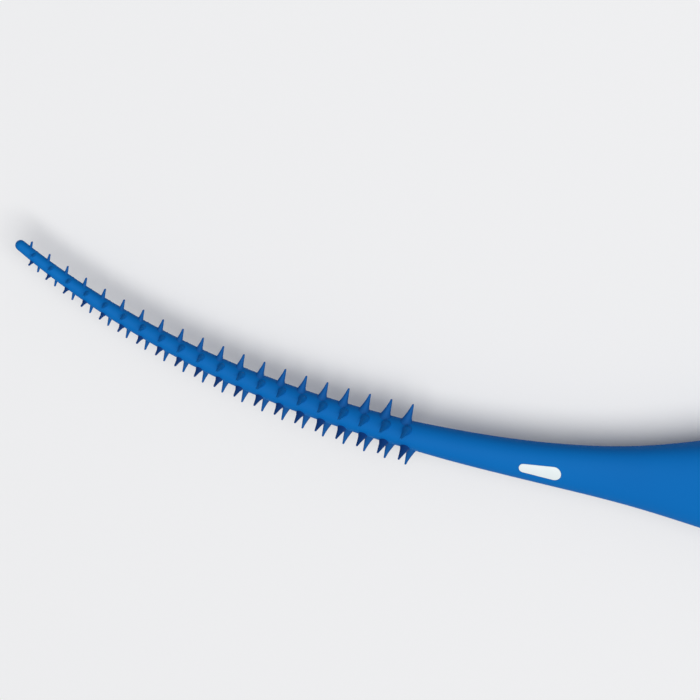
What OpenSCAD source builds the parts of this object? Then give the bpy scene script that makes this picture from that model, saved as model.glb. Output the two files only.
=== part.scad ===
// Rubber interdental brush. A stiff white core runs from the needle to the handle's spine,
// and a soft blue coat is moulded over it, with rings of small thorns on its tapered shaft.
// It lies on the flat back of its handle, with the origin in the middle of that flat.
// +X runs from the tip to the butt, +Z is up, and the shaft curves towards +Y as it nears the tip.

/* [Bristled shaft] */
// Number of rings of thorns on the shaft
ring_count = 20; // [12:1:24]
// Distance from ring to ring, along the shaft
ring_pitch = 0.88; // [0.82:0.01:1.1]
// Diameter of the coated shaft at the ring nearest the tip
shaft_d_tip = 0.46; // [0.42:0.01:0.56]
// Diameter of the coated shaft at the ring nearest the handle
shaft_d_neck = 1.12; // [1:0.01:1.3]
// Length of the rounded tip past the last slice of bristled shaft
tip_run = 0.52; // [0.45:0.01:0.8]

/* [Thorns] */
// Reach of the side thorns from the shaft's axis, at the ring nearest the tip
side_reach_tip = 0.68; // [0.5:0.01:0.8]
// Reach of the side thorns from the shaft's axis, at the ring nearest the handle
side_reach_neck = 1.37; // [1.1:0.01:1.6]
// Reach of the face thorns from the shaft's axis, at the ring nearest the tip
face_reach_tip = 0.42; // [0.4:0.01:0.6]
// Reach of the face thorns from the shaft's axis, at the ring nearest the handle
face_reach_neck = 1.36; // [1:0.01:1.42]
// Diameter of a side thorn at its root, at the ring nearest the tip
thorn_d_tip = 0.16; // [0.14:0.01:0.2]
// Diameter of a side thorn at its root, at the ring nearest the handle
thorn_d_neck = 0.48; // [0.36:0.01:0.5]
// Diameter of the blunt point of every thorn
point_d = 0.08; // [0.05:0.01:0.1]
// How far the point of a face thorn leans towards the tip
face_lean = 0.07; // [0:0.01:0.12]
// How far the lower row of face thorns stands nearer the tip
face_stagger = 0.1; // [0:0.01:0.15]
// How far each side row stands off its ring's plane, at the ring nearest the tip
stagger_tip = 0.2; // [0:0.01:0.2]
// How far each side row stands off its ring's plane, at the ring nearest the handle
stagger_neck = 0.14; // [0:0.01:0.16]

/* [Curve] */
// Heading of the tip against the handle's axis, in degrees
tip_heading = 40.4; // [0:0.2:42]
// Power by which the heading grows along the bend, where 1 is an arc
curve_power = 1.83; // [1.2:0.01:2.4]
// Length along the axis from the handle's shoulder, where the bend starts, to the nearest ring
neck_run = 18; // [17:0.1:19]

/* [Neck and window] */
// Width of the neck at the window
neck_w = 1.7; // [1.5:0.01:1.9]
// Thickness of the neck at the window
neck_t = 1.35; // [1.2:0.01:1.6]
// Distance from the handle's shoulder to the middle of the window
window_at = 12.48; // [12:0.02:13]
// Length of the window in the coat
window_len = 1.75; // [1.4:0.05:2]
// Radius of the window's end that is nearer the tip
window_r_tip = 0.22; // [0.15:0.01:0.25]
// Radius of the window's end that is nearer the handle
window_r_handle = 0.31; // [0.25:0.01:0.36]

/* [Handle] */
// Width where the neck runs out into the handle
throat_w = 2.52; // [2.3:0.02:2.8]
// Thickness where the neck runs out into the handle
throat_t = 1.6; // [1.5:0.02:2]
// Distance from the handle's shoulder to that throat
throat_at = 8.8; // [8:0.1:9.4]
// Width of the handle's shoulder, behind the neck
shoulder_w = 5.7; // [5:0.1:6.5]
// Width of the handle's waist
waist_w = 5; // [4.4:0.1:5.6]
// Width of the handle near its butt
butt_w = 5.8; // [5:0.1:6.5]
// Thickness of the handle, measured before its back is trimmed flat
grip_t = 3.2; // [3.12:0.02:3.6]
// Height of the shaft's axis over the flat back
axis_h = 1.5; // [1.48:0.01:1.54]
// Length of the grip, from the shoulder to the butt
grip_run = 34; // [28:1:40]
// Length over which the butt rounds off
butt_round = 2.7; // [2:0.1:3]

/* [Thumb rest] */
// Depth of the hollow in the handle's face
dish_depth = 0.36; // [0.2:0.02:0.4]
// Radius of the hollow along the handle
dish_r = 60; // [45:1:80]
// Number of ribs across the hollow
rib_count = 5; // [3:2:5]
// Distance between the ribs
rib_pitch = 1.9; // [1.6:0.1:2.2]
// Length of each rib, between the middles of its round ends
rib_len = 2.2; // [1.6:0.1:2.6]
// Radius of a rib's round back
rib_r = 0.3; // [0.25:0.01:0.35]
// How far a rib stands out of the hollow
rib_proud = 0.18; // [0.12:0.01:0.22]

/* [Core] */
// Thickness of the coat round the needle at the tip
coat_tip = 0.1; // [0.08:0.01:0.11]
// Thickness of the coat at the ring nearest the handle
coat_neck = 0.24; // [0.18:0.01:0.28]
// Thickness of the coat at the window
coat_window = 0.3; // [0.25:0.01:0.34]
// Thickness of the coat on the handle
coat_grip = 0.65; // [0.6:0.01:0.7]
// Diameter of the holes through the spine that lock the coat on
lock_d = 1.6; // [1.2:0.1:2]
// Number of holes through the spine
lock_count = 3; // [2:1:4]
// Distance between the holes
lock_pitch = 9; // [6:0.5:9]

/* [Hidden] */
function ring_name(k) = str("bristle_ring_", k < 10 ? "0" : "", k);

// Faces round the coat, the core, a thorn, small round things and the hollow's large arc
coat_sides = 24;
core_sides = 16;
thorn_sides = 6;
arc_fn = 32;
dish_fn = 480;
// One overrun for every cut
over = 0.05;

// The axis: straight through the handle, then bending more and more towards the tip.
// Places on it are distances from the handle's shoulder, towards the tip.
bend_run = neck_run + (ring_count - 0.5) * ring_pitch + tip_run;
butt_at = -grip_run;
butt_full_at = butt_at + 2 * butt_round;
// The waist is in the middle of the grip, over the origin
waist_at = -grip_run / 2;
bend_x = waist_at;
walk_steps = 300;
walk_step = bend_run / walk_steps;
function heading(s) = s <= 0 ? 0 : tip_heading * pow(s / bend_run, curve_power);
walk_mids = [for (i = [0:walk_steps - 1]) heading((i + 1 / 2) * walk_step)];
walk = [
    for (i = 0, p = [0, 0]; i <= walk_steps;
        p = p + walk_step * [-cos(walk_mids[min(i, walk_steps - 1)]), sin(walk_mids[min(i, walk_steps - 1)])],
        i = i + 1)
    [i * walk_step, p[0], p[1]]
];
walk_x = [for (w = walk) [w[0], w[1]]];
walk_y = [for (w = walk) [w[0], w[2]]];
function axis_x(s) = bend_x + (s <= 0 ? -s : lookup(s, walk_x));
function axis_y(s) = s <= 0 ? 0 : lookup(s, walk_y);

// Rings are numbered from the tip
function ring_at(k) = neck_run + (ring_count - k) * ring_pitch;
function along(k, at_tip, at_neck) = at_tip + (at_neck - at_tip) * (k - 1) / (ring_count - 1);
bristled_from = ring_at(ring_count) - ring_pitch / 2;
bristled_to = ring_at(1) + ring_pitch / 2;
bristled_run = ring_at(1) - neck_run;

// Half sizes of the coated body along the axis: place, half width, half thickness, squareness, coat
square_share = [2, 2.2, 2.4, 3];
body_rows = [
    [butt_at, butt_w / 2, grip_t / 2, square_share[3], coat_grip],
    [butt_full_at, butt_w / 2, grip_t / 2, square_share[3], coat_grip],
    [waist_at, waist_w / 2, grip_t / 2, square_share[3], coat_grip],
    [0, shoulder_w / 2, grip_t / 2, square_share[3], coat_grip],
    [throat_at, throat_w / 2, throat_t / 2, square_share[2], (coat_grip + coat_window) / 2],
    [window_at, neck_w / 2, neck_t / 2, square_share[1], coat_window],
    [neck_run, shaft_d_neck / 2, shaft_d_neck / 2, square_share[0], coat_neck]
];

// A smooth curve through the rows of a table, in one of its columns
function row_slope(t, i, c) =
    let (a = max(i - 1, 0), b = min(i + 1, len(t) - 1)) (t[b][c] - t[a][c]) / (t[b][0] - t[a][0]);
function row_before(t, s, i = 0) = i >= len(t) - 2 || s < t[i + 1][0] ? i : row_before(t, s, i + 1);
function through(t, s, c) =
    let (
        i = row_before(t, s),
        run = t[i + 1][0] - t[i][0],
        f = (s - t[i][0]) / run,
        m0 = row_slope(t, i, c) * run,
        m1 = row_slope(t, i + 1, c) * run
    )
    (2 * f * f * f - 3 * f * f + 1) * t[i][c] + (f * f * f - 2 * f * f + f) * m0
    + (3 * f * f - 2 * f * f * f) * t[i + 1][c] + (f * f * f - f * f) * m1;
function taper(s, at_neck, at_tip) = at_neck + (at_tip - at_neck) * (s - neck_run) / bristled_run;

function coat_half(s, column) =
    s > neck_run ? taper(s, shaft_d_neck, shaft_d_tip) / 2 : through(body_rows, s, column);
function half_w(s) = coat_half(s, 1);
function half_t(s) = coat_half(s, 2);
function square(s) = s > neck_run ? square_share[0] : through(body_rows, s, 3);
function coat(s) = s > neck_run ? taper(s, coat_neck, coat_tip) : through(body_rows, s, 4);

// A closed section across the axis, square to the handle unless it is turned to meet the heading
function section(s, w, t, sides, turn = 0) =
    let (reach = w / cos(heading(s) - turn), bulge = 2 / square(s))
    [
        for (i = [0:sides - 1])
        let (a = 360 * i / sides, v = reach * sign(cos(a)) * pow(abs(cos(a)), bulge))
        [
            axis_x(s) + v * sin(turn),
            axis_y(s) + v * cos(turn),
            axis_h + t * sign(sin(a)) * pow(abs(sin(a)), bulge)
        ]
    ];
function coat_section(s) = section(s, half_w(s), half_t(s), coat_sides);
function core_section(s) = section(s, half_w(s) - coat(s), half_t(s) - coat(s), core_sides);

// A solid through closed sections, which are listed from the tip towards the handle
module loft(sections) {
    n = len(sections[0]);
    rings = len(sections);
    walls = [
        for (j = [0:rings - 2], i = [0:n - 1])
        let (a = j * n + i, b = j * n + (i + 1) % n)
        each [[a, b + n, b], [a, a + n, b + n]]
    ];
    first = [for (i = [0:n - 1]) i];
    last = [for (i = [n - 1:-1:0]) (rings - 1) * n + i];
    polyhedron(points = [for (s = sections) each s], faces = concat(walls, [first, last]));
}

// Places of the sections through the neck, from the last slice to the shoulder, and through the handle
neck_steps = 22;
neck_places = [
    for (i = [0:neck_steps]) bristled_from * (1 - i / neck_steps)
];
grip_steps = 6;
grip_places = [
    for (i = [1:grip_steps]) -(grip_run - butt_round) * i / grip_steps
];
// The butt rounds off through these angles, and keeps this share of its thickness
round_angles = [72, 54, 38, 24, 12];
butt_thin_share = 0.5;

// The rounded end of a body whose butt lies at a place, seen as sections that shrink
function butt_sections(end, w, t, sides, run) = [
    for (a = round_angles)
    let (s = end + run * (1 - cos(a)), thin = butt_thin_share + (1 - butt_thin_share) * sin(a))
    section(s, w * sin(a), t * thin, sides)
];

module coat_body() {
    loft(concat(
        [for (s = neck_places) coat_section(s)],
        [for (s = grip_places) coat_section(s)],
        butt_sections(butt_at, butt_w / 2, grip_t / 2, coat_sides, butt_round)
    ));
}

// The spine stays a coat's thickness inside the handle, all round and at the butt
module spine_body(from) {
    loft(concat(
        [for (s = from) core_section(s)],
        [for (s = grip_places) core_section(s)],
        butt_sections(
            butt_at + coat_grip, butt_w / 2 - coat_grip, grip_t / 2 - coat_grip,
            core_sides, butt_round - coat_grip
        )
    ));
}

module lock_holes() {
    for (i = [0:lock_count - 1])
        translate([(i - (lock_count - 1) / 2) * lock_pitch, 0, 0])
            cylinder(d = lock_d, h = grip_t, $fn = arc_fn);
}

// The tapered slot in which the core shows, through both faces of the neck
module window_slot() {
    translate([axis_x(window_at), axis_y(window_at), axis_h - neck_t])
        rotate([0, 0, -heading(window_at)])
            linear_extrude(height = 2 * neck_t)
                hull() {
                    translate([window_r_tip - window_len / 2, 0])
                        circle(r = window_r_tip, $fn = arc_fn);
                    translate([window_len / 2 - window_r_handle, 0])
                        circle(r = window_r_handle, $fn = arc_fn);
                }
}

// The white core: needle, flush pads at the window and pierced spine, one moulding
needle_end_share = 0.35;
needle_places = concat(
    [bristled_to + tip_run * needle_end_share],
    [for (k = [1:ring_count]) ring_at(k) + ring_pitch / 2]
);
pad_places = [for (s = neck_places) if (abs(s - window_at) < window_len) s];

module core() {
    color("#e9f2ee") {
        difference() {
            spine_body(concat(needle_places, neck_places));
            lock_holes();
        }
        intersection() {
            loft([for (s = pad_places) coat_section(s)]);
            window_slot();
        }
    }
}

// The hollow under the thumb is a shallow arc along the handle
dish_mid_h = axis_h + grip_t / 2 - dish_depth + dish_r;
function dish_h(x) = dish_mid_h - sqrt(dish_r * dish_r - x * x);

module thumb_dish() {
    translate([0, -butt_w, dish_mid_h])
        rotate([-90, 0, 0])
            cylinder(r = dish_r, h = 2 * butt_w, $fn = dish_fn);
}

module thumb_ribs() {
    for (i = [0:rib_count - 1]) {
        x = (i - (rib_count - 1) / 2) * rib_pitch;
        translate([x, 0, dish_h(x) - rib_r + rib_proud]) {
            rotate([90, 0, 0]) cylinder(r = rib_r, h = rib_len, center = true, $fn = arc_fn);
            for (side = [-1, 1])
                translate([0, side * rib_len / 2, 0]) sphere(r = rib_r, $fn = arc_fn);
        }
    }
}

// The blue coat of the neck and the handle, with its flat back
module jacket() {
    color("#176ebc") {
        difference() {
            coat_body();
            difference() {
                spine_body(concat([bristled_from + ring_pitch], neck_places));
                lock_holes();
            }
            window_slot();
            thumb_dish();
            translate([butt_at, -butt_w, -grip_t])
                cube([-2 * butt_at, 2 * butt_w, grip_t]);
        }
        thumb_ribs();
    }
}

// A thorn that grows along +Z from its root to its point. Its back is the flank that stays
// straight: 1 is the one on the handle's side, -1 the one on the tip's side, 0 neither.
thorn_shares = [-0.15, 0.15, 0.45, 1];
module thorn(root, point, root_r, flare, back) {
    loft([
        for (f = thorn_shares)
        let (
            r = point_d / 2 + (root_r - point_d / 2) * pow(1 - f, flare),
            mid = root + f * (point - root) + [back * (root_r - r), 0, 0]
        )
        [for (i = [0:thorn_sides - 1]) let (a = 360 * i / thorn_sides) mid + r * [cos(a), sin(a), 0]]
    ]);
}

// Side thorns flare on one flank, and the two on the face and the one on the back are plain cones
side_flare = 1.3;
face_flare = 1.15;
side_draft = 9;
face_root_share = 0.7;
face_point_share = 0.82;
face_girth_share = 0.75;
back_reach_share = 2;

module ring_thorns(k) {
    s = ring_at(k);
    shaft_r = half_w(s);
    root_r = along(k, thorn_d_tip, thorn_d_neck) / 2;
    side_reach = along(k, side_reach_tip, side_reach_neck);
    face_reach = along(k, face_reach_tip, face_reach_neck);
    stagger = along(k, stagger_tip, stagger_neck);
    side_root = shaft_r / cos(heading(s));
    lean = (side_reach - side_root) * tan(side_draft);
    face_root = shaft_r * sqrt(1 - face_root_share * face_root_share);
    face_r = root_r * face_girth_share;
    translate([axis_x(s), axis_y(s), axis_h]) {
        for (side = [-1, 1]) {
            shift = side < 0 ? -face_stagger : 0;
            rotate([side * -90, 0, 0])
                thorn(
                    [-side * stagger, 0, side_root], [side * (lean - stagger), 0, side_reach],
                    root_r, side_flare, side
                );
            thorn(
                [shift, side * shaft_r * face_root_share, face_root],
                [shift - face_lean, side * shaft_r * face_point_share, face_reach],
                face_r, face_flare, 0
            );
        }
        rotate([180, 0, 0])
            thorn([0, 0, shaft_r], [0, 0, back_reach_share * shaft_r], face_r, face_flare, 0);
    }
}

// One slice of the bristled coat with its five thorns, bored to fit the needle
module bristle_ring(k) {
    near_tip = ring_at(k) + ring_pitch / 2;
    near_handle = ring_at(k) - ring_pitch / 2;
    color("#1a6fbd")
        difference() {
            union() {
                loft([coat_section(near_tip), coat_section(near_handle)]);
                ring_thorns(k);
            }
            loft([for (s = [near_tip + over, near_tip, near_handle, near_handle - over]) core_section(s)]);
        }
}

// The rounded end of the coat, closed over the needle's end
cap_steps = 6;
module tip_cap() {
    tip_r = half_w(bristled_to);
    straight = tip_run - tip_r;
    color("#1a6fbd")
        difference() {
            loft(concat(
                [
                    for (i = [0:cap_steps - 1])
                    let (a = 90 * (i + 1 / 2) / cap_steps, s = bristled_to + straight + tip_r * cos(a))
                    section(s, tip_r * sin(a), tip_r * sin(a), coat_sides, heading(s))
                ],
                [coat_section(bristled_to)]
            ));
            loft([
                core_section(bristled_to + tip_run * needle_end_share),
                core_section(bristled_to),
                core_section(bristled_to - over)
            ]);
        }
}

core();
jacket();
tip_cap();
for (k = [1:ring_count])
    bristle_ring(k);
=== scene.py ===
import bisect
import math

import bmesh
import bpy
from mathutils import Matrix, Vector


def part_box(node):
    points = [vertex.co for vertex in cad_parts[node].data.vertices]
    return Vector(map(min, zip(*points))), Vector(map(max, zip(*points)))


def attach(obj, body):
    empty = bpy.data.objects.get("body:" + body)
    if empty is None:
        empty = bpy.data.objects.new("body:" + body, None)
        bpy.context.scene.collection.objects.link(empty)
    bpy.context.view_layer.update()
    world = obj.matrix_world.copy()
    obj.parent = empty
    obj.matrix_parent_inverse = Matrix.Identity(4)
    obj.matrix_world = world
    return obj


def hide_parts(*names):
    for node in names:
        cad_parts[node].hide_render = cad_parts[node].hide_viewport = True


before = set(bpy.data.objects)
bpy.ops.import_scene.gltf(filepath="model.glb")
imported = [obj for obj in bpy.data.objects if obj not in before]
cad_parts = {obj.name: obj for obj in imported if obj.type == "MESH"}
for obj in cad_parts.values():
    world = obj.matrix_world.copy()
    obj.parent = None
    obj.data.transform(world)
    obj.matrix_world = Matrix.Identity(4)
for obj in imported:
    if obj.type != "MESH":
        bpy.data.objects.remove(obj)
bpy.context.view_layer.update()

# The coat: shaft, neck and handle.
# Blue silicone rubber, moulded in one shot over the white core, so it runs without a seam from the
# rounded tip to the butt. Its sections are round on the shaft and soft-cornered on the handle.
MM = 0.001
ring_names = sorted(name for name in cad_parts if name.startswith("bristle_ring_"))
core_low, core_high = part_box("core")
axis_h = (core_low.z + core_high.z) / 2
butt_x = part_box("jacket")[1].x

# Places along the axis are distances from the handle's shoulder, where the bend starts, to the tip
shoulder_x = -17 * MM
neck_run = 18 * MM
ring_pitch = 0.88 * MM
ring_places = [neck_run + i * ring_pitch for i in reversed(range(len(ring_names)))]
tip_run = 0.52 * MM
bend_run = ring_places[0] + ring_pitch / 2 + tip_run
tip_heading = math.radians(40.4)
curve_power = 1.83

window_at = 12.48 * MM
throat_at = 8.8 * MM
waist_at = shoulder_x
butt_at = shoulder_x - butt_x
butt_round = 2.7 * MM
butt_thin_share = 0.5

shaft_r_tip = 0.23 * MM
shaft_r_neck = 0.56 * MM
grip_half_t = 1.599 * MM
butt_half_w = 2.89 * MM
grip_coat = 0.65 * MM
coat_tip = 0.1 * MM

# Place, half width, half thickness, power of the section's curve, coat over the core. The widest
# rows are a hair under the solids' own, so that the smooth skin stays inside their box.
round_power = 2
grip_power = 3
body_rows = [
    (butt_at, butt_half_w, grip_half_t, grip_power, grip_coat),
    (butt_at + 2 * butt_round, butt_half_w, grip_half_t, grip_power, grip_coat),
    (waist_at, 2.5 * MM, grip_half_t, grip_power, grip_coat),
    (0, 2.847 * MM, grip_half_t, grip_power, grip_coat),
    (throat_at, 1.26 * MM, 0.8 * MM, 2.4, 0.475 * MM),
    (window_at, 0.85 * MM, 0.675 * MM, 2.2, 0.3 * MM),
    (neck_run, shaft_r_neck, shaft_r_neck, round_power, 0.24 * MM),
]

# The heading grows as a power of the place, and the axis is walked in short straight steps
walk_steps = 200
walk_step = bend_run / walk_steps
walk = [(0, shoulder_x, 0)]
for i in range(walk_steps):
    place, x, y = walk[-1]
    heading = tip_heading * ((i + 0.5) / walk_steps) ** curve_power
    walk.append((place + walk_step, x - walk_step * math.cos(heading), y + walk_step * math.sin(heading)))


def smooth(rows, place, column):
    """A smooth curve through one column of a table whose first column is the place."""
    def slope(i):
        a, b = rows[max(i - 1, 0)], rows[min(i + 1, len(rows) - 1)]
        return (b[column] - a[column]) / (b[0] - a[0])

    i = min(max(bisect.bisect_right([row[0] for row in rows], place) - 1, 0), len(rows) - 2)
    here, there = rows[i], rows[i + 1]
    run = there[0] - here[0]
    f = (place - here[0]) / run
    return (
        (2 * f**3 - 3 * f**2 + 1) * here[column]
        + (f**3 - 2 * f**2 + f) * slope(i) * run
        + (3 * f**2 - 2 * f**3) * there[column]
        + (f**3 - f**2) * slope(i + 1) * run
    )


def axis_at(place):
    """The middle of the section at a place, and the direction there towards the tip."""
    heading = tip_heading * (max(place, 0) / bend_run) ** curve_power
    direction = Vector((-math.cos(heading), math.sin(heading), 0))
    if place <= 0:
        return Vector((shoulder_x - place, 0, axis_h)), direction
    return Vector((smooth(walk, place, 1), smooth(walk, place, 2), axis_h)), direction


def size_at(place, cover=0):
    """Half width, half thickness and curve power of the coat or, with cover 1, of the core."""
    if place <= neck_run:
        half_w, half_t, power, coat = [smooth(body_rows, place, column) for column in (1, 2, 3, 4)]
    else:
        share = (place - neck_run) / (ring_places[0] - neck_run)
        half_w = half_t = shaft_r_neck + (shaft_r_tip - shaft_r_neck) * share
        power = round_power
        coat = body_rows[-1][4] + (coat_tip - body_rows[-1][4]) * share
    return half_w - cover * coat, half_t - cover * coat, power


def places(start, end, step):
    """Places at about this step, from the start up to just before the end."""
    count = math.ceil(abs(end - start) / step)
    return [start + (end - start) * i / count for i in range(count)]


def body_stations(at, cover=0):
    """Sections of the coat or the core: middle, direction, half width, half thickness, power."""
    return [(*axis_at(place), *size_at(place, cover)) for place in at]


def butt_stations(cover, angles):
    """Sections that round off the butt of the coat or the core, from the full width to its end."""
    inside = cover * grip_coat
    stations = []
    for a in map(math.radians, angles):
        middle = Vector((butt_x - inside - (butt_round - inside) * (1 - math.cos(a)), 0, axis_h))
        thin = butt_thin_share + (1 - butt_thin_share) * math.sin(a)
        half_w = (butt_half_w - inside) * math.sin(a)
        half_t = (grip_half_t - inside) * thin
        stations.append((middle, Vector((-1, 0, 0)), half_w, half_t, grip_power))
    return stations


def store(mesh, name, values):
    """Gives each point of a mesh its own number or vector under a name."""
    if isinstance(values[0], Vector):
        made = mesh.attributes.new(name, "FLOAT_VECTOR", "POINT")
        made.data.foreach_set("vector", [part for value in values for part in value])
    else:
        made = mesh.attributes.new(name, "FLOAT", "POINT")
        made.data.foreach_set("value", [float(value) for value in values])


def axis_mesh(name, stations):
    """A line of points along the axis that carries each section's sizes."""
    middles, directions, half_ws, half_ts, powers = zip(*stations)
    mesh = bpy.data.meshes.new(name)
    mesh.from_pydata(middles, [(i, i + 1) for i in range(len(stations) - 1)], [])
    store(mesh, "middle", middles)
    store(mesh, "sideways", [Vector((d.y, -d.x, 0)) * half_w for d, half_w in zip(directions, half_ws)])
    store(mesh, "upwards", [Vector((0, 0, half_t)) for half_t in half_ts])
    store(mesh, "power", powers)
    return mesh


def add(tree, kind, inputs=None, **settings):
    """Adds a node with its settings, and sets or links its inputs, given by name or place."""
    made = tree.nodes.new(kind)
    for name, value in settings.items():
        setattr(made, name, value)
    for key, value in (inputs or {}).items():
        if isinstance(value, bpy.types.NodeSocket):
            tree.links.new(value, made.inputs[key])
        else:
            made.inputs[key].default_value = value
    return made


def new_tree(name, inputs):
    """A geometry tree with one geometry input, these named inputs, and a geometry output."""
    tree = bpy.data.node_groups.new(name, "GeometryNodeTree")
    tree.interface.new_socket("Geometry", in_out="INPUT", socket_type="NodeSocketGeometry")
    for label, kind in inputs.items():
        tree.interface.new_socket(label, in_out="INPUT", socket_type="NodeSocket" + kind)
    tree.interface.new_socket("Geometry", in_out="OUTPUT", socket_type="NodeSocketGeometry")
    return tree, tree.nodes.new("NodeGroupInput").outputs


def plain(thing):
    """The mesh that an object's modifiers make."""
    return bpy.data.meshes.new_from_object(thing.evaluated_get(bpy.context.evaluated_depsgraph_get()))


def grow(tree, base, values):
    """Runs a tree on a mesh and gives the result as a plain mesh."""
    carrier = bpy.data.objects.new(tree.name, base)
    modifier = carrier.modifiers.new(tree.name, "NODES")
    modifier.node_group = tree
    for socket in tree.interface.items_tree:
        if socket.in_out == "INPUT" and socket.name in values:
            modifier[socket.identifier] = values[socket.name]
    bpy.context.scene.collection.objects.link(carrier)
    grown = plain(carrier)
    bpy.data.objects.remove(carrier)
    return grown


def srgb(code):
    """A hex colour as the linear colour that shaders take."""
    parts = [int(code[i:i + 2], 16) / 255 for i in (1, 3, 5)]
    return (*[p / 12.92 if p <= 0.04045 else ((p + 0.055) / 1.055) ** 2.4 for p in parts], 1)


def new_material(name):
    """A material with a Principled shader, whose node tree and shader are given back too."""
    material = bpy.data.materials.new(name)
    material.use_nodes = True
    return material, material.node_tree, material.node_tree.nodes["Principled BSDF"]


# Silicone rubber, moulded in a spark-eroded steel tool: a soft satin without a sharp highlight, and a
# very faint cloud in the colour and the sheen. The grain is drawn coarser than the real one, so that it
# shows. Where a piece carries the painted-shade attribute, the blue goes towards a deep navy, which is
# painted shade rather than a colour of the rubber.
cloud_size = 4 * MM
grain_size = 0.1 * MM
grain_height = 0.01 * MM
silicone, mix, shader = new_material("moulded_blue_silicone")
shader.inputs["IOR"].default_value = 1.43
shader.inputs["Specular IOR Level"].default_value = 0.1
where = add(mix, "ShaderNodeTexCoord").outputs["Object"]
cloud = add(mix, "ShaderNodeTexNoise", {"Vector": where, "Scale": 1 / cloud_size, "Detail": 2.0})
tone = add(mix, "ShaderNodeValToRGB", {"Fac": cloud.outputs["Fac"]})
tone.color_ramp.elements[0].position = 0.3
tone.color_ramp.elements[0].color = srgb("#066cb8")
tone.color_ramp.elements[1].position = 0.7
tone.color_ramp.elements[1].color = srgb("#066fbb")
# The thorns' painted shade: their attribute mixes the blue towards a deep navy that stands in for shade
painted_shade = add(mix, "ShaderNodeAttribute", attribute_name="painted_shade").outputs["Fac"]
painted_shade_blend = add(
    mix, "ShaderNodeMix",
    {"Factor": painted_shade, 6: tone.outputs["Color"], 7: srgb("#1a4a89")},
    data_type="RGBA",
)
mix.links.new(painted_shade_blend.outputs[2], shader.inputs["Base Color"])
sheen = add(mix, "ShaderNodeMapRange", {"Value": cloud.outputs["Fac"], "To Min": 0.52, "To Max": 0.62})
mix.links.new(sheen.outputs["Result"], shader.inputs["Roughness"])
grain = add(mix, "ShaderNodeTexNoise", {"Vector": where, "Scale": 1 / grain_size, "Detail": 2.0})
relief = add(
    mix, "ShaderNodeBump",
    {"Height": grain.outputs["Fac"], "Strength": 0.12, "Distance": grain_height},
)
mix.links.new(relief.outputs["Normal"], shader.inputs["Normal"])

# The sweep carries a round of points along the axis, and each point knows its angle in the section
sweep, given = new_tree("sweep", {"Sides": "Int", "Back": "Float", "Finish": "Material"})
line = add(sweep, "GeometryNodeMeshToCurve", {"Mesh": given["Geometry"]})
circle = add(sweep, "GeometryNodeCurvePrimitiveCircle", {"Resolution": given["Sides"], "Radius": MM})
turned = add(sweep, "GeometryNodeSplineParameter").outputs["Factor"]
angle = add(sweep, "ShaderNodeMath", {0: turned, 1: math.tau}, operation="MULTIPLY").outputs[0]
profile = add(
    sweep, "GeometryNodeStoreNamedAttribute",
    {"Geometry": circle.outputs["Curve"], "Name": "angle", "Value": angle},
    data_type="FLOAT", domain="POINT",
)
tube = add(
    sweep, "GeometryNodeCurveToMesh",
    {"Curve": line.outputs[0], "Profile Curve": profile.outputs[0], "Fill Caps": True},
)
carried = {
    name: add(sweep, "GeometryNodeInputNamedAttribute", {"Name": name}, data_type=kind).outputs[0]
    for name, kind in [
        ("angle", "FLOAT"), ("power", "FLOAT"),
        ("middle", "FLOAT_VECTOR"), ("sideways", "FLOAT_VECTOR"), ("upwards", "FLOAT_VECTOR"),
    ]
}

# The point moves out to the soft-cornered oval whose corners get squarer as the power grows
across = add(sweep, "ShaderNodeMath", {0: carried["angle"]}, operation="COSINE").outputs[0]
above = add(sweep, "ShaderNodeMath", {0: carried["angle"]}, operation="SINE").outputs[0]
raised = []
for part in (across, above):
    size = add(sweep, "ShaderNodeMath", {0: part}, operation="ABSOLUTE").outputs[0]
    raised.append(add(sweep, "ShaderNodeMath", {0: size, 1: carried["power"]}, operation="POWER").outputs[0])
total = add(sweep, "ShaderNodeMath", {0: raised[0], 1: raised[1]}, operation="ADD").outputs[0]
inverse = add(sweep, "ShaderNodeMath", {0: 1.0, 1: carried["power"]}, operation="DIVIDE").outputs[0]
reach = add(sweep, "ShaderNodeMath", {0: total, 1: inverse}, operation="POWER").outputs[0]
spot = carried["middle"]
for part, arm in ((across, "sideways"), (above, "upwards")):
    share = add(sweep, "ShaderNodeMath", {0: part, 1: reach}, operation="DIVIDE").outputs[0]
    end = add(sweep, "ShaderNodeVectorMath", {0: carried[arm], "Scale": share}, operation="SCALE").outputs[0]
    spot = add(sweep, "ShaderNodeVectorMath", {0: spot, 1: end}, operation="ADD").outputs[0]

# What would reach below the back is laid flat on it
axes = add(sweep, "ShaderNodeSeparateXYZ", {"Vector": spot}).outputs
flat = add(sweep, "ShaderNodeMath", {0: axes["Z"], 1: given["Back"]}, operation="MAXIMUM").outputs[0]
spot = add(sweep, "ShaderNodeCombineXYZ", {"X": axes["X"], "Y": axes["Y"], "Z": flat}).outputs[0]
shaped = add(sweep, "GeometryNodeSetPosition", {"Geometry": tube.outputs[0], "Position": spot}).outputs[0]
shaped = add(sweep, "GeometryNodeSetShadeSmooth", {"Geometry": shaped}).outputs[0]
shaped = add(sweep, "GeometryNodeRealizeInstances", {"Geometry": shaped}).outputs[0]
shaped = add(sweep, "GeometryNodeSetMaterial", {"Geometry": shaped, "Material": given["Finish"]}).outputs[0]
add(sweep, "NodeGroupOutput", {"Geometry": shaped})

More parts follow.
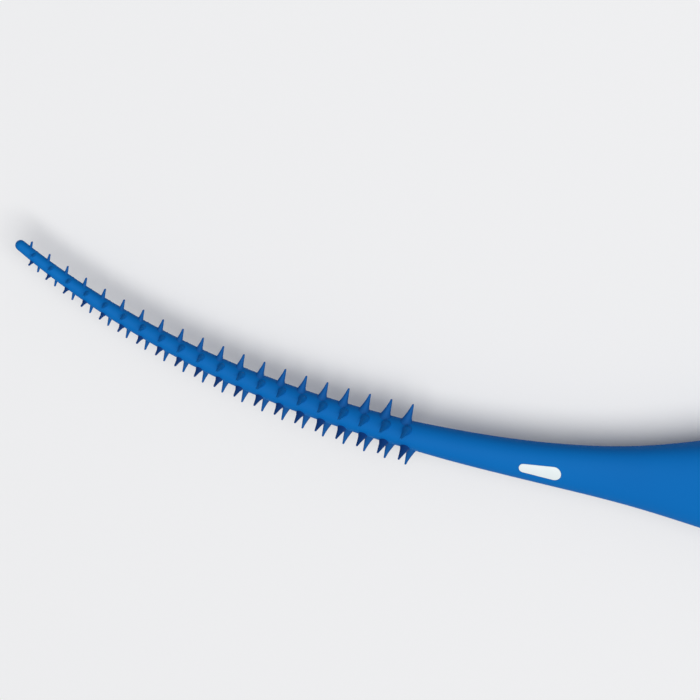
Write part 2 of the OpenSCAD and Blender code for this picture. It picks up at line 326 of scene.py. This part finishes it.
# The sections lie closest together where the tip is round and where the thumb rest has its ribs
dome_r = 0.217 * MM
dome_angles = (86, 76, 64, 52, 40, 28, 16)
butt_angles = (90, 80, 70, 60, 50, 40, 30, 20, 12, 5, 1)
rib_zone = 5.5 * MM
shaft_step = 0.1 * MM
neck_step = 0.14 * MM
grip_step = 0.3 * MM
rib_step = 0.06 * MM
dome_mid, dome_heading = axis_at(bend_run - dome_r)
coat_stations = []
for a in map(math.radians, dome_angles):
    middle = dome_mid + dome_heading * dome_r * math.sin(a)
    ring_r = dome_r * math.cos(a)
    coat_stations.append((middle, dome_heading, ring_r, ring_r, round_power))
coat_stations += body_stations(
    places(bend_run - dome_r, neck_run, shaft_step)
    + places(neck_run, 0, neck_step)
    + places(0, waist_at + rib_zone, grip_step)
    + places(waist_at + rib_zone, waist_at - rib_zone, rib_step)
    + places(waist_at - rib_zone, butt_at + butt_round, grip_step)
)
coat_stations += butt_stations(0, butt_angles)
coat_mesh = grow(
    sweep, axis_mesh("coat_axis", coat_stations), {"Sides": 120, "Back": 0.0, "Finish": silicone}
)

# The thumb rest is hollowed out of the grip's upper face, and five low ribs stand in it. The rubber
# runs over every edge in a small radius, as it does in a polished mould.
rest, given = new_tree(
    "thumb_rest",
    {
        "Axis height": "Float", "Face height": "Float", "Hollow depth": "Float", "Hollow radius": "Float",
        "Rib pitch": "Float", "Rib length": "Float", "Rib radius": "Float", "Rib height": "Float",
        "Last rib": "Float", "Edge radius": "Float", "Finish": "Material",
    },
)
spot = add(rest, "GeometryNodeInputPosition").outputs[0]
axes = add(rest, "ShaderNodeSeparateXYZ", {"Vector": spot}).outputs

# The hollow is an arc along the handle, lowest over the origin
square = add(rest, "ShaderNodeMath", {0: axes["X"], 1: axes["X"]}, operation="MULTIPLY").outputs[0]
radius_2 = add(rest, "ShaderNodeMath", {0: given["Hollow radius"], 1: 2.0}, operation="POWER").outputs[0]
drop = add(rest, "ShaderNodeMath", {0: radius_2, 1: square}, operation="SUBTRACT").outputs[0]
drop = add(rest, "ShaderNodeMath", {0: drop}, operation="SQRT").outputs[0]
lowest = add(
    rest, "ShaderNodeMath", {0: given["Face height"], 1: given["Hollow depth"]}, operation="SUBTRACT"
).outputs[0]
centre = add(rest, "ShaderNodeMath", {0: lowest, 1: given["Hollow radius"]}, operation="ADD").outputs[0]
hollow = add(rest, "ShaderNodeMath", {0: centre, 1: drop}, operation="SUBTRACT").outputs[0]

# How far a point lies from the line of the rib nearest to it, along the handle and past the rib's end
nearest = add(rest, "ShaderNodeMath", {0: axes["X"], 1: given["Rib pitch"]}, operation="DIVIDE").outputs[0]
nearest = add(rest, "ShaderNodeMath", {0: nearest}, operation="ROUND").outputs[0]
first = add(rest, "ShaderNodeMath", {0: given["Last rib"], 1: -1.0}, operation="MULTIPLY").outputs[0]
nearest = add(rest, "ShaderNodeClamp", {"Value": nearest, "Min": first, "Max": given["Last rib"]}).outputs[0]
rib_x = add(rest, "ShaderNodeMath", {0: nearest, 1: given["Rib pitch"]}, operation="MULTIPLY").outputs[0]
along = add(rest, "ShaderNodeMath", {0: axes["X"], 1: rib_x}, operation="SUBTRACT").outputs[0]
beside = add(rest, "ShaderNodeMath", {0: axes["Y"]}, operation="ABSOLUTE").outputs[0]
half = add(rest, "ShaderNodeMath", {0: given["Rib length"], 1: 0.5}, operation="MULTIPLY").outputs[0]
beside = add(rest, "ShaderNodeMath", {0: beside, 1: half}, operation="SUBTRACT").outputs[0]
beside = add(rest, "ShaderNodeMath", {0: beside, 1: 0.0}, operation="MAXIMUM").outputs[0]

# The rib is the cap of a rounded bar that stands out of the hollow by the rib's height
arch_2 = add(rest, "ShaderNodeMath", {0: given["Rib radius"], 1: 2.0}, operation="POWER").outputs[0]
for part in (along, beside):
    part_2 = add(rest, "ShaderNodeMath", {0: part, 1: 2.0}, operation="POWER").outputs[0]
    arch_2 = add(rest, "ShaderNodeMath", {0: arch_2, 1: part_2}, operation="SUBTRACT").outputs[0]
height_2 = add(rest, "ShaderNodeMath", {0: given["Rib height"], 1: 2.0}, operation="POWER").outputs[0]
margin = add(rest, "ShaderNodeMath", {0: arch_2, 1: height_2}, operation="ADD").outputs[0]
near = add(rest, "FunctionNodeCompare", {"A": margin, "B": 0.0}, operation="GREATER_THAN").outputs[0]
arch_2 = add(rest, "ShaderNodeMath", {0: arch_2, 1: 0.0}, operation="MAXIMUM").outputs[0]
arch = add(rest, "ShaderNodeMath", {0: arch_2}, operation="SQRT").outputs[0]
foot = add(
    rest, "ShaderNodeMath", {0: given["Rib height"], 1: given["Rib radius"]}, operation="SUBTRACT"
).outputs[0]
rib = add(rest, "ShaderNodeMath", {0: hollow, 1: foot}, operation="ADD").outputs[0]
rib = add(rest, "ShaderNodeMath", {0: rib, 1: arch}, operation="ADD").outputs[0]

# The face is cut down to the hollow, and near a rib it rises to the rib, both with soft edges
cut = add(
    rest, "ShaderNodeMath", {0: axes["Z"], 1: hollow, 2: given["Edge radius"]}, operation="SMOOTH_MIN"
).outputs[0]
ribbed = add(
    rest, "ShaderNodeMath", {0: cut, 1: rib, 2: given["Edge radius"]}, operation="SMOOTH_MAX"
).outputs[0]
skin = add(
    rest, "GeometryNodeSwitch", {"Switch": near, "False": cut, "True": ribbed}, input_type="FLOAT"
).outputs[0]
spot = add(rest, "ShaderNodeCombineXYZ", {"X": axes["X"], "Y": axes["Y"], "Z": skin}).outputs[0]
upper = add(
    rest, "FunctionNodeCompare", {"A": axes["Z"], "B": given["Axis height"]}, operation="GREATER_THAN"
).outputs[0]
shaped = add(
    rest, "GeometryNodeSetPosition",
    {"Geometry": given["Geometry"], "Selection": upper, "Position": spot},
).outputs[0]
shaped = add(rest, "GeometryNodeRealizeInstances", {"Geometry": shaped}).outputs[0]
shaped = add(rest, "GeometryNodeSetMaterial", {"Geometry": shaped, "Material": given["Finish"]}).outputs[0]
add(rest, "NodeGroupOutput", {"Geometry": shaped})
coat_mesh = grow(rest, coat_mesh, {
    "Axis height": axis_h,
    "Face height": axis_h + grip_half_t,
    "Hollow depth": 0.36 * MM,
    "Hollow radius": 60 * MM,
    "Rib pitch": 1.9 * MM,
    "Rib length": 2.2 * MM,
    "Rib radius": 0.3 * MM,
    "Rib height": 0.18 * MM,
    "Last rib": 2.0,
    "Edge radius": 0.08 * MM,
    "Finish": silicone,
})

# The window is a tapered slot through both faces of the neck. In the photograph it lies a little to
# one side of the axis.
window_len = 1.75 * MM
window_r_tip = 0.2 * MM
window_r_handle = 0.305 * MM
window_off_axis = 0.045 * MM
window_arc_steps = 24
cutter_half_h = 1.2 * MM
sharp_from = math.radians(40)


def window_cutter(shrink):
    """The slot of the window as a solid, made smaller all round by a shrink."""
    small, large = window_r_tip - shrink, window_r_handle - shrink
    ends = window_len / 2 - window_r_tip, window_len / 2 - window_r_handle
    lean = math.asin((large - small) / sum(ends)) + math.pi / 2
    middle, direction = axis_at(window_at)
    middle -= Vector((direction.y, -direction.x, 0)) * window_off_axis
    turn = Matrix.Rotation(-math.atan2(direction.y, -direction.x), 3, "Z")
    shares = [i / window_arc_steps for i in range(window_arc_steps + 1)]
    outline = [
        Vector((ends[1] + large * math.cos(a), large * math.sin(a), -cutter_half_h))
        for a in [lean * (2 * share - 1) for share in shares]
    ] + [
        Vector((-ends[0] + small * math.cos(a), small * math.sin(a), -cutter_half_h))
        for a in [lean + 2 * (math.pi - lean) * share for share in shares]
    ]
    shape = bmesh.new()
    base = shape.faces.new([shape.verts.new(middle + turn @ p) for p in outline])
    top = bmesh.ops.extrude_face_region(shape, geom=[base])["geom"]
    top_corners = [v for v in top if isinstance(v, bmesh.types.BMVert)]
    bmesh.ops.translate(shape, vec=(0, 0, 2 * cutter_half_h), verts=top_corners)
    bmesh.ops.recalc_face_normals(shape, faces=shape.faces)
    mesh = bpy.data.meshes.new("window_cutter")
    shape.to_mesh(mesh)
    shape.free()
    return mesh


def carve(mesh, cutters, operation):
    """The mesh after a boolean with each cutter, with the new edges kept sharp."""
    body = bpy.data.objects.new("carved", mesh)
    bpy.context.scene.collection.objects.link(body)
    tools = []
    for cutter in cutters:
        tool = bpy.data.objects.new("cutter", cutter)
        bpy.context.scene.collection.objects.link(tool)
        tools.append(tool)
        modifier = body.modifiers.new("carve", "BOOLEAN")
        modifier.operation = operation
        modifier.object = tool
        modifier.solver = "EXACT"
    carved = plain(body)
    carved.set_sharp_from_angle(angle=sharp_from)
    for thing in [body, *tools]:
        bpy.data.objects.remove(thing)
    return carved


coat = bpy.data.objects.new("coat", carve(coat_mesh, [window_cutter(0)], "DIFFERENCE"))
bpy.context.scene.collection.objects.link(coat)
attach(coat, "root")
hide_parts("jacket", "tip_cap")

# The bristles.
# Soft thorns of the same rubber, moulded in one with the coat, five to a ring: two to the sides, flared
# on one flank and nearly straight on the other, two plain cones on the face and one on the back.
side_root_r = (0.08 * MM, 0.24 * MM)
stagger = (0.2 * MM, 0.14 * MM)
side_flare = 1.3
side_draft = math.radians(9)
face_flare = 1.15
face_root_share = 0.7
face_point_share = 0.82
face_girth_share = 0.75
face_lean = 0.07 * MM
face_stagger = 0.1 * MM
back_reach_share = 2
seat_share = 0.5
# How much painted shade each row carries, towards the deep navy. The back row has as much as the side rows.
side_painted_shade = 0.55
upper_face_painted_shade = 0.15
lower_face_painted_shade = 1.0

thorns = []
for i, (name, place) in enumerate(zip(ring_names, ring_places)):
    low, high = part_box(name)
    mid, heading = axis_at(place)
    share = i / (len(ring_names) - 1)
    root_r = side_root_r[0] + (side_root_r[1] - side_root_r[0]) * share
    off_plane = stagger[0] + (stagger[1] - stagger[0]) * share
    shaft_r = size_at(place)[0]
    side_root = shaft_r / -heading.x
    side_reach = (high.y - low.y) / 2
    side_lean = (side_reach - side_root) * math.tan(side_draft)
    face_root = math.sqrt(1 - face_root_share**2) * shaft_r
    face_reach = high.z - axis_h
    face_r = root_r * face_girth_share
    # Root, point, radius at the root, flare, side of the straight flank, share of painted shade
    ring = []
    for side, shift, face_painted_shade in ((-1, -face_stagger, lower_face_painted_shade), (1, 0, upper_face_painted_shade)):
        root = mid + Vector((-off_plane, side_root, 0)) * side
        point = mid + Vector((side_lean - off_plane, side_reach, 0)) * side
        ring.append((root, point, root_r, side_flare, side, side_painted_shade))
        root = mid + Vector((shift, side * face_root_share * shaft_r, face_root))
        point = mid + Vector((shift - face_lean, side * face_point_share * shaft_r, face_reach))
        ring.append((root, point, face_r, face_flare, 0, face_painted_shade))
    root = mid - Vector((0, 0, shaft_r))
    point = mid - Vector((0, 0, shaft_r * back_reach_share))
    ring.append((root, point, face_r, face_flare, 0, side_painted_shade))
    thorns += [(*thorn, thorn[0].lerp(mid, seat_share)) for thorn in ring]

# Each root hands its row's share of painted shade on to the thorns' material
columns = dict(zip(("root", "point", "root_r", "flare", "back", "painted_shade", "seat"), zip(*thorns)))
roots = bpy.data.meshes.new("thorn_roots")
roots.from_pydata(columns["root"], [], [])
for name, values in columns.items():
    store(roots, name, values)

# A stick one unit long and two wide is planted on every root, and its points remember where they were
bristle, given = new_tree(
    "bristle",
    {
        "Sides": "Int", "Steps": "Int", "Crowding": "Float", "Point radius": "Float", "Fillet": "Float",
        "Fillet share": "Float", "Sunk share": "Float", "Weld": "Float", "Finish": "Material",
    },
)
stick = add(
    bristle, "GeometryNodeMeshCylinder",
    {"Vertices": given["Sides"], "Side Segments": given["Steps"], "Radius": 1.0, "Depth": 1.0},
)
spot = add(bristle, "GeometryNodeInputPosition").outputs[0]
stick = add(
    bristle, "GeometryNodeStoreNamedAttribute",
    {"Geometry": stick.outputs["Mesh"], "Name": "unit", "Value": spot},
    data_type="FLOAT_VECTOR", domain="POINT",
).outputs[0]
planted = add(
    bristle, "GeometryNodeInstanceOnPoints", {"Points": given["Geometry"], "Instance": stick}
).outputs[0]
planted = add(bristle, "GeometryNodeRealizeInstances", {"Geometry": planted}).outputs[0]
carried = {
    name: add(bristle, "GeometryNodeInputNamedAttribute", {"Name": name}, data_type=kind).outputs[0]
    for name, kind in [
        ("unit", "FLOAT_VECTOR"), ("root", "FLOAT_VECTOR"), ("point", "FLOAT_VECTOR"),
        ("seat", "FLOAT_VECTOR"), ("root_r", "FLOAT"), ("flare", "FLOAT"), ("back", "FLOAT"),
    ]
}

# How much of the thorn is left from here to its point: 0 at the point, where the steps crowd, 1 at
# the root, and more in the part that is sunk in the shaft
unit = add(bristle, "ShaderNodeSeparateXYZ", {"Vector": carried["unit"]}).outputs
left = add(bristle, "ShaderNodeMath", {0: 0.5, 1: unit["Z"]}, operation="SUBTRACT").outputs[0]
left = add(bristle, "ShaderNodeMath", {0: left, 1: given["Crowding"]}, operation="POWER").outputs[0]
whole = add(bristle, "ShaderNodeMath", {0: 1.0, 1: given["Sunk share"]}, operation="ADD").outputs[0]
left = add(bristle, "ShaderNodeMath", {0: left, 1: whole}, operation="MULTIPLY").outputs[0]
grown = add(bristle, "ShaderNodeMath", {0: 1.0, 1: left}, operation="SUBTRACT").outputs[0]
outside = add(bristle, "ShaderNodeMath", {0: grown, 1: 0.0}, operation="MAXIMUM").outputs[0]
sunk = add(bristle, "ShaderNodeMath", {0: grown, 1: 0.0}, operation="MINIMUM").outputs[0]
sunk = add(bristle, "ShaderNodeMath", {0: sunk, 1: given["Sunk share"]}, operation="DIVIDE").outputs[0]
sunk = add(bristle, "ShaderNodeMath", {0: sunk}, operation="ABSOLUTE").outputs[0]

# The radius falls from the root to the point by the flare, and one flank of a side thorn stays straight
swell = add(bristle, "ShaderNodeMath", {0: left, 1: carried["flare"]}, operation="POWER").outputs[0]
spread = add(
    bristle, "ShaderNodeMath", {0: carried["root_r"], 1: given["Point radius"]}, operation="SUBTRACT"
).outputs[0]
girth = add(
    bristle, "ShaderNodeMath", {0: swell, 1: spread, 2: given["Point radius"]}, operation="MULTIPLY_ADD"
).outputs[0]
shift = add(bristle, "ShaderNodeMath", {0: carried["root_r"], 1: girth}, operation="SUBTRACT").outputs[0]
shift = add(bristle, "ShaderNodeMath", {0: shift, 1: carried["back"]}, operation="MULTIPLY").outputs[0]

# The point is a half round
lift = add(
    bristle, "ShaderNodeVectorMath", {0: carried["point"], 1: carried["root"]}, operation="SUBTRACT"
).outputs[0]
length = add(bristle, "ShaderNodeVectorMath", {0: lift}, operation="LENGTH").outputs["Value"]
crown = add(bristle, "ShaderNodeMath", {0: length, 1: given["Point radius"]}, operation="DIVIDE").outputs[0]
crown = add(bristle, "ShaderNodeMath", {0: left, 1: crown}, operation="MULTIPLY").outputs[0]
crown = add(bristle, "ShaderNodeMath", {0: 1.0, 1: crown}, operation="SUBTRACT").outputs[0]
crown = add(bristle, "ShaderNodeMath", {0: crown, 1: 0.0}, operation="MAXIMUM").outputs[0]
crown = add(bristle, "ShaderNodeMath", {0: crown, 1: 2.0}, operation="POWER").outputs[0]
crown = add(bristle, "ShaderNodeMath", {0: 1.0, 1: crown}, operation="SUBTRACT").outputs[0]
crown = add(bristle, "ShaderNodeMath", {0: crown}, operation="SQRT").outputs[0]

# The foot runs out into the shaft in a fillet
fillet = add(bristle, "ShaderNodeMath", {0: outside, 1: given["Fillet share"]}, operation="DIVIDE").outputs[0]
fillet = add(bristle, "ShaderNodeMath", {0: 1.0, 1: fillet}, operation="SUBTRACT").outputs[0]
fillet = add(bristle, "ShaderNodeMath", {0: fillet, 1: 0.0}, operation="MAXIMUM").outputs[0]
fillet = add(bristle, "ShaderNodeMath", {0: fillet, 1: 2.0}, operation="POWER").outputs[0]
girth = add(
    bristle, "ShaderNodeMath", {0: fillet, 1: given["Fillet"], 2: girth}, operation="MULTIPLY_ADD"
).outputs[0]
girth = add(bristle, "ShaderNodeMath", {0: girth, 1: crown}, operation="MULTIPLY").outputs[0]

# Each point of the stick goes to its place along the thorn and out to the radius there
push = add(bristle, "ShaderNodeMath", {0: girth, 1: unit["X"], 2: shift}, operation="MULTIPLY_ADD").outputs[0]
push = add(bristle, "ShaderNodeCombineXYZ", {"X": push}).outputs[0]
wide = add(
    bristle, "ShaderNodeVectorMath", {0: lift, 1: (1.0, 0.0, 0.0)}, operation="CROSS_PRODUCT"
).outputs[0]
wide = add(bristle, "ShaderNodeVectorMath", {0: wide}, operation="NORMALIZE").outputs[0]
around = add(bristle, "ShaderNodeMath", {0: girth, 1: unit["Y"]}, operation="MULTIPLY").outputs[0]
wide = add(bristle, "ShaderNodeVectorMath", {0: wide, "Scale": around}, operation="SCALE").outputs[0]
lift = add(bristle, "ShaderNodeVectorMath", {0: lift, "Scale": outside}, operation="SCALE").outputs[0]
sink = add(
    bristle, "ShaderNodeVectorMath", {0: carried["seat"], 1: carried["root"]}, operation="SUBTRACT"
).outputs[0]
sink = add(bristle, "ShaderNodeVectorMath", {0: sink, "Scale": sunk}, operation="SCALE").outputs[0]
spot = carried["root"]
for part in (lift, sink, push, wide):
    spot = add(bristle, "ShaderNodeVectorMath", {0: spot, 1: part}, operation="ADD").outputs[0]
shaped = add(bristle, "GeometryNodeSetPosition", {"Geometry": planted, "Position": spot}).outputs[0]

# The last step has shrunk to a point, and is welded there
shaped = add(
    bristle, "GeometryNodeMergeByDistance", {"Geometry": shaped, "Distance": given["Weld"]}
).outputs[0]
shaped = add(bristle, "GeometryNodeSetShadeSmooth", {"Geometry": shaped}).outputs[0]
shaped = add(bristle, "GeometryNodeRealizeInstances", {"Geometry": shaped}).outputs[0]
shaped = add(bristle, "GeometryNodeSetMaterial", {"Geometry": shaped, "Material": given["Finish"]}).outputs[0]
add(bristle, "NodeGroupOutput", {"Geometry": shaped})
bristles = bpy.data.objects.new("bristles", grow(bristle, roots, {
    "Sides": 20,
    "Steps": 18,
    "Crowding": 1.6,
    "Point radius": 0.04 * MM,
    "Fillet": 0.03 * MM,
    "Fillet share": 0.25,
    "Sunk share": 0.15,
    "Weld": 0.0005 * MM,
    "Finish": silicone,
}))
bpy.context.scene.collection.objects.link(bristles)
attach(bristles, "root")
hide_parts(*ring_names)

# The core.
# A stiff white needle and handle spine in one moulding of glass-filled polyester. It shows only in the
# neck's window, where its pads held it in the mould while the rubber ran round it.
needle_end_cover = 0.338 * MM
needle_step = 0.4 * MM
core_neck_step = 0.3 * MM
spine_step = 0.6 * MM
pad_gap = 0.01 * MM
lock_hole_xs = (-9 * MM, 0, 9 * MM)
lock_hole_r = 0.8 * MM
lock_hole_len = 3.2 * MM
lock_hole_sides = 48

# Polyester from a polished mould: white with a faint green cast, smooth, with the faint cloud that the
# glass in it leaves
cloud_size = 0.5 * MM
polyester, mix, shader = new_material("moulded_white_polyester")
shader.inputs["IOR"].default_value = 1.57
shader.inputs["Roughness"].default_value = 0.35
where = add(mix, "ShaderNodeTexCoord").outputs["Object"]
cloud = add(mix, "ShaderNodeTexNoise", {"Vector": where, "Scale": 1 / cloud_size, "Detail": 3.0})
tone = add(mix, "ShaderNodeValToRGB", {"Fac": cloud.outputs["Fac"]})
tone.color_ramp.elements[0].color = srgb("#e6f0ee")
tone.color_ramp.elements[1].color = srgb("#f0f5f2")
mix.links.new(tone.outputs["Color"], shader.inputs["Base Color"])

core_stations = body_stations(
    places(bend_run - needle_end_cover, neck_run, needle_step)
    + places(neck_run, 0, core_neck_step)
    + places(0, butt_at + butt_round, spine_step),
    cover=1,
)
core_stations += butt_stations(1, butt_angles)
core_mesh = grow(
    sweep, axis_mesh("core_axis", core_stations), {"Sides": 48, "Back": 0.0, "Finish": polyester}
)

# Rubber fills the holes through the spine and locks the coat on. Each is turned by half a side, because
# a corner on the spine's middle line leaves slivers there.
holes = []
half_side = Matrix.Rotation(math.pi / lock_hole_sides, 4, "Z")
for x in lock_hole_xs:
    shape = bmesh.new()
    bmesh.ops.create_cone(
        shape, cap_ends=True, segments=lock_hole_sides,
        radius1=lock_hole_r, radius2=lock_hole_r, depth=lock_hole_len,
        matrix=Matrix.Translation((x, 0, axis_h)) @ half_side,
    )
    holes.append(bpy.data.meshes.new("lock_hole"))
    shape.to_mesh(holes[-1])
    shape.free()
core_mesh = carve(core_mesh, holes, "DIFFERENCE")

# The pads fill the window and come flush with the coat's skin
pads = carve(coat_mesh, [window_cutter(pad_gap)], "INTERSECT")
joined = bmesh.new()
joined.from_mesh(core_mesh)
joined.from_mesh(pads)
for face in joined.faces:
    face.material_index = 0
core_mesh = bpy.data.meshes.new("core")
joined.to_mesh(core_mesh)
joined.free()
core_mesh.materials.append(polyester)
core_mesh.set_sharp_from_angle(angle=sharp_from)
core = bpy.data.objects.new("white_core", core_mesh)
bpy.context.scene.collection.objects.link(core)
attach(core, "root")
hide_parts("core")

# The floor.
# A plain pale sheet of studio paper that the handle's flat back lies on. The eye and reflections see it
# pale, while it throws back little light, so that the rubber's lower flanks keep their shade.
floor_half = 0.4


def seen(tree):
    """1 for a ray from the eye, a reflection or a clear body, 0 for light that a surface spreads."""
    ray = add(tree, "ShaderNodeLightPath").outputs
    share = ray["Is Camera Ray"]
    for other in (ray["Is Glossy Ray"], ray["Is Transmission Ray"]):
        share = add(tree, "ShaderNodeMath", {0: share, 1: other}, operation="MAXIMUM").outputs[0]
    return share


floor_mesh = bpy.data.meshes.new("floor")
floor_mesh.from_pydata(
    [Vector((x, y, 0)) * floor_half for x, y in ((-1, -1), (1, -1), (1, 1), (-1, 1))], [], [(0, 1, 2, 3)]
)
floor = bpy.data.objects.new("floor", floor_mesh)
paper, mix, shader = new_material("pale_studio_paper")
shader.inputs["Roughness"].default_value = 0.95
shader.inputs["Specular IOR Level"].default_value = 0.1
tone = add(mix, "ShaderNodeValToRGB", {"Fac": seen(mix)})
tone.color_ramp.elements[0].color = srgb("#8c8c92")
tone.color_ramp.elements[1].color = srgb("#f5f4f1")
mix.links.new(tone.outputs["Color"], shader.inputs["Base Color"])
floor_mesh.materials.append(paper)
bpy.context.scene.collection.objects.link(floor)

# The light.
# Soft studio light at a plain level: one wide round lamp nearly overhead, and an even, dimmer room whose
# walls look as pale as the floor.
lamp_d = 0.7
lamp_away = 0.5
lamp_power = 2.4
lamp_side = Vector((0.2, 0.05, 0.98)).normalized()
room_level = 0.36
lamp = bpy.data.lights.new("key", "AREA")
lamp.shape = "DISK"
lamp.size = lamp_d
lamp.energy = lamp_power
key_light = bpy.data.objects.new("key", lamp)
lamp_turn = lamp_side.to_track_quat("Z", "Y").to_matrix().to_4x4()
key_light.matrix_world = Matrix.Translation(Vector((shoulder_x, 0, 0)) + lamp_side * lamp_away) @ lamp_turn
key_light.visible_camera = False
bpy.context.scene.collection.objects.link(key_light)
world = bpy.data.worlds.new("room")
world.use_nodes = True
room = world.node_tree
glow = room.nodes["Background"]
glow.inputs["Color"].default_value = srgb("#eef2ff")
glow.inputs["Strength"].default_value = room_level
walls = add(room, "ShaderNodeBackground", {"Color": srgb("#e9eaec"), "Strength": 1.0})
both = add(room, "ShaderNodeMixShader", {0: seen(room), 1: glow.outputs[0], 2: walls.outputs[0]})
room.links.new(both.outputs[0], room.nodes["World Output"].inputs["Surface"])
bpy.context.scene.world = world

# The camera, at the photograph's viewing angle, with a long lens because the photograph has next to
# no perspective. It is set by where one point of the axis, the last ring's, lies in the photograph.
tilt, yaw, roll = map(math.radians, (27, 11, 4.3))
px_per_m = 25 / MM
photo_px = 700
neck_px = Vector((409.2, 434.35))
stand_back = 1.0
towards = Vector((math.sin(yaw), math.cos(yaw) * math.sin(tilt), math.cos(yaw) * math.cos(tilt)))
level = Vector((math.cos(yaw), -math.sin(yaw) * math.sin(tilt), -math.sin(yaw) * math.cos(tilt)))
right = level * math.cos(roll) + towards.cross(level) * math.sin(roll)
up = towards.cross(right)
off_centre = (neck_px - Vector((photo_px / 2, photo_px / 2))) / px_per_m
aim = axis_at(neck_run)[0] - right * off_centre.x + up * off_centre.y
lens = bpy.data.cameras.new("camera")
lens.sensor_width = 36
lens.lens = lens.sensor_width * stand_back * px_per_m / photo_px
camera = bpy.data.objects.new("camera", lens)
camera_turn = Matrix((right, up, towards)).transposed().to_4x4()
camera.matrix_world = Matrix.Translation(aim + towards * stand_back) @ camera_turn
bpy.context.scene.collection.objects.link(camera)
bpy.context.scene.camera = camera

bpy.context.scene.view_settings.view_transform = "Standard"
